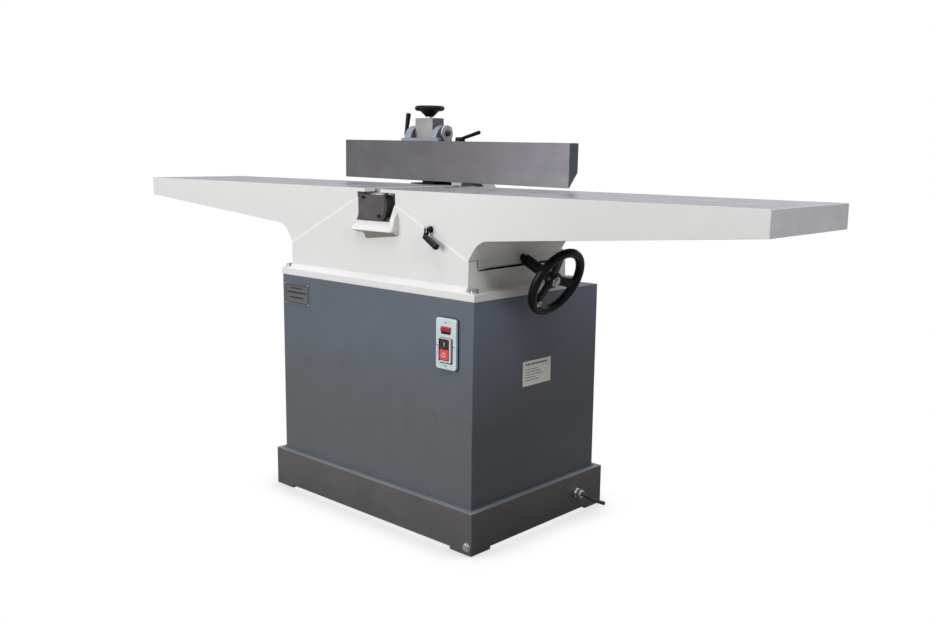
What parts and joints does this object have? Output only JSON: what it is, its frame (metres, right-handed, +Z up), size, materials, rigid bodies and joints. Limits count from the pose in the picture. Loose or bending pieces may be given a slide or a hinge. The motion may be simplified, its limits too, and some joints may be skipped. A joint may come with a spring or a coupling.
{
  "type": "surface planer",
  "caption": "Free-standing surface planer: long inclined-way tables over a cutterhead, tilting and sliding fence, cast stand on a sheet cabinet with belt drive.",
  "frame": {"origin": "middle of the whole machine's footprint box, on the floor", "axes": "+X along the tables towards the infeed end (operator's right), +Y to the rear behind the fence, +Z up; the operator stands on the -Y side"},
  "size_m": [2.05, 0.6154, 1.0342],
  "materials": {
    "black_plastic": "moulded phenolic",
    "bright_steel": "turned steel",
    "cast_grey": "machined and painted",
    "cream_plastic": "moulded",
    "dark_steel": "blackened steel",
    "fence_iron": "ground and oiled",
    "grey_enamel": "satin powder coat",
    "gunmetal": "machined",
    "head_grey": "machined cast iron",
    "lamp_plastic": "translucent lens",
    "motor_paint": "satin paint",
    "plate_aluminium": "anodised",
    "plinth_enamel": "satin powder coat",
    "rubber": "matte",
    "start_plastic": "moulded",
    "stop_plastic": "moulded",
    "white_enamel": "semi-gloss enamel on casting"
  },
  "bodies": {
    "stand": {"plinth": "plinth_enamel", "cabinet_shell": "grey_enamel", "rear_access_panel": "grey_enamel", "base_casting": "white_enamel", "base_bolt_1": "bright_steel", "base_bolt_2": "bright_steel", "base_bolt_3": "bright_steel", "base_bolt_4": "bright_steel", "front_bearing_housing": "head_grey", "front_bearing_cover": "head_grey", "cover_screw_1": "dark_steel", "cover_screw_2": "dark_steel", "front_bearing": "bright_steel", "rear_bearing_housing": "head_grey", "rear_bearing": "bright_steel", "drive_belt": "rubber", "belt_guard": "grey_enamel", "motor_body": "motor_paint", "motor_mount": "dark_steel", "chip_chute": "dark_steel", "infeed_gib": "gunmetal", "outfeed_gib": "gunmetal", "infeed_nut": "gunmetal", "outfeed_nut": "gunmetal", "fence_support": "cast_grey", "fence_support_bolt_1": "bright_steel", "fence_support_bolt_2": "bright_steel", "switch_plate": "plate_aluminium", "switch_bezel": "cream_plastic", "indicator_lamp": "lamp_plastic", "rating_plate": "cast_grey", "cable_gland": "bright_steel", "power_cable": "rubber"},
    "cutterhead": {"cutterhead": "bright_steel", "knife_1": "bright_steel", "knife_2": "bright_steel", "knife_3": "bright_steel", "knife_wedge_1": "dark_steel", "knife_wedge_2": "dark_steel", "knife_wedge_3": "dark_steel", "cutterhead_pulley": "cast_grey"},
    "motor_rotor": {"motor_rotor": "bright_steel", "motor_pulley": "cast_grey"},
    "infeed_table": {"infeed_table": "white_enamel"},
    "outfeed_table": {"outfeed_table": "white_enamel"},
    "handwheel": {"infeed_screw": "dark_steel", "handwheel": "black_plastic", "handle_bush": "bright_steel", "handwheel_nut": "bright_steel"},
    "outfeed_screw": {"outfeed_screw": "bright_steel"},
    "infeed_lock": {"infeed_lock_lever": "black_plastic"},
    "fence_carriage": {"fence_carriage": "cast_grey", "tilt_pin": "bright_steel"},
    "fence": {"fence_plate": "fence_iron", "fence_bracket": "cast_grey"},
    "fence_knob": {"fence_knob": "black_plastic"},
    "tilt_lock": {"tilt_lock_lever": "black_plastic"},
    "slide_lock": {"slide_lock_lever": "black_plastic"},
    "start_button": {"start_button": "start_plastic"},
    "stop_button": {"stop_button": "stop_plastic"}
  },
  "joints": [
    {"name": "cutterhead_spin", "type": "hinge", "parent": "stand", "child": "cutterhead", "pos_m": [0, -0.05725, 0.778], "axis": [0, 1, 0], "continuous": true},
    {"name": "motor_spin", "type": "hinge", "parent": "stand", "child": "motor_rotor", "pos_m": [0, -0.05725, 0.26], "axis": [0, 1, 0], "continuous": true},
    {"name": "handwheel_turn", "type": "hinge", "parent": "infeed_table", "child": "handwheel", "pos_m": [0.423, -0.09025, 0.6164], "axis": [0.9018, 0, -0.4321], "range_deg": [-208, 1441]},
    {"name": "infeed_slide", "type": "slide", "parent": "stand", "child": "infeed_table", "axis": [0.9018, 0, -0.4321], "range_m": [-0.0023, 0.016]},
    {"name": "outfeed_screw_turn", "type": "hinge", "parent": "outfeed_table", "child": "outfeed_screw", "pos_m": [-0.423, -0.09025, 0.6164], "axis": [-0.9018, 0, -0.4321], "range_deg": [-316, 316]},
    {"name": "outfeed_slide", "type": "slide", "parent": "stand", "child": "outfeed_table", "axis": [-0.9018, 0, -0.4321], "range_m": [-0.0035, 0.0035]},
    {"name": "infeed_lock_turn", "type": "hinge", "parent": "infeed_table", "child": "infeed_lock", "pos_m": [0.202, -0.27875, 0.7338], "axis": [0, 1, 0], "range_deg": [0, 60]},
    {"name": "fence_slide", "type": "slide", "parent": "stand", "child": "fence_carriage", "axis": [0, 1, 0], "range_m": [-0.15, 0]},
    {"name": "fence_tilt", "type": "hinge", "parent": "fence_carriage", "child": "fence", "pos_m": [-0.19, 0.10275, 0.958], "axis": [1, 0, 0], "range_deg": [-45, 0]},
    {"name": "fence_knob_turn", "type": "hinge", "parent": "fence_carriage", "child": "fence_knob", "pos_m": [-0.19, 0.10475, 1.003], "axis": [0, 0, 1], "range_deg": [0, 180]},
    {"name": "tilt_lock_turn", "type": "hinge", "parent": "fence_carriage", "child": "tilt_lock", "pos_m": [-0.27, 0.10275, 0.958], "axis": [1, 0, 0], "range_deg": [-60, 0]},
    {"name": "slide_lock_turn", "type": "hinge", "parent": "stand", "child": "slide_lock", "pos_m": [-0.07, 0.10275, 0.934], "axis": [0, 0, 1], "range_deg": [0, 60]},
    {"name": "start_press", "type": "slide", "parent": "stand", "child": "start_button", "axis": [0, 1, 0], "range_m": [0, 0.003]},
    {"name": "stop_press", "type": "slide", "parent": "stand", "child": "stop_button", "axis": [0, 1, 0], "range_m": [0, 0.003]}
  ],
  "couplings": [
    {"joint": "motor_spin", "follows": "cutterhead_spin", "ratio": 0.5583},
    {"joint": "handwheel_turn", "follows": "infeed_slide", "rad_per_m": 1570.8},
    {"joint": "outfeed_screw_turn", "follows": "outfeed_slide", "rad_per_m": 1570.8}
  ]
}
